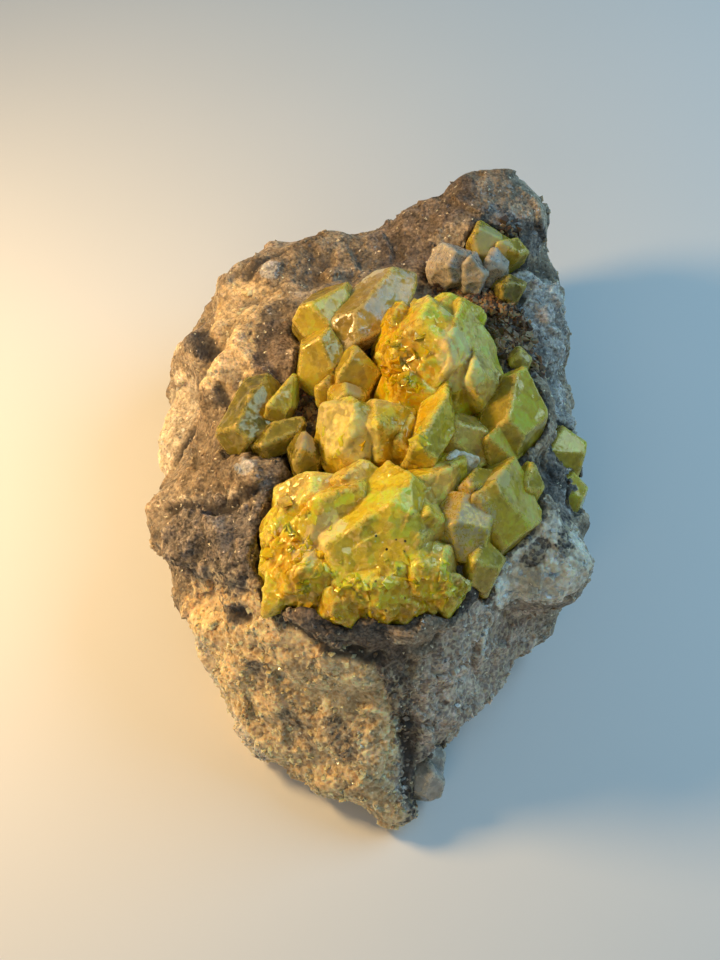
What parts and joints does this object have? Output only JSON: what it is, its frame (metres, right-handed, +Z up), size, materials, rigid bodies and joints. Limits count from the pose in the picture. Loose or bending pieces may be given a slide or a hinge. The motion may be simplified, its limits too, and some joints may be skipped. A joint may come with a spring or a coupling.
{
  "type": "sulfur specimen",
  "caption": "Mineral specimen: long rough limestone block, flat underneath, with yellow sulfur crystals and clear calcite grown in its top.",
  "frame": {"origin": "centre of the specimen's footprint box, on the plane of its flat underside", "axes": "+Z up, away from the flat underside; +Y along the length, from the thin front tip to the knob; +X across, to the right when seen from the front tip"},
  "size_m": [0.0706, 0.1048, 0.0454],
  "materials": {
    "limestone": "rough broken limestone with sugary calcite",
    "sulfur_yellow": "resinous, half clear, bright yellow",
    "sulfur_amber": "resinous, half clear, amber yellow",
    "sulfur_brown": "resinous, half clear, brownish",
    "sulfur_green": "resinous, half clear, greenish yellow",
    "sulfur_olive": "glassy, half clear, olive",
    "calcite_clear": "glassy, clear with pale faces",
    "calcite_gray": "glassy, cloudy gray"
  },
  "bodies": {
    "root": {"matrix_block": "limestone", "sulfur_front_mass": "sulfur_yellow", "sulfur_middle_mass": "sulfur_yellow", "sulfur_upper_mass": "sulfur_amber", "sulfur_brown_crystal": "sulfur_brown", "sulfur_right_crystals": "sulfur_green", "sulfur_front_right_crystals": "sulfur_green", "sulfur_upper_left_crystals": "sulfur_olive", "sulfur_pocket_crystal": "sulfur_olive", "sulfur_pocket_blade": "sulfur_olive", "sulfur_pocket_plate": "sulfur_yellow", "sulfur_gap_crystal": "sulfur_olive", "sulfur_knob_crystals": "sulfur_green", "sulfur_olive_crystal": "sulfur_olive", "sulfur_green_crystal": "sulfur_green", "sulfur_side_crystals": "sulfur_green", "brown_bead_crystal": "sulfur_brown", "calcite_blade": "calcite_clear", "calcite_knob_crystals": "calcite_gray", "pale_calcite_crystal": "calcite_gray", "calcite_foot_crystal": "calcite_gray"}
  },
  "joints": []
}
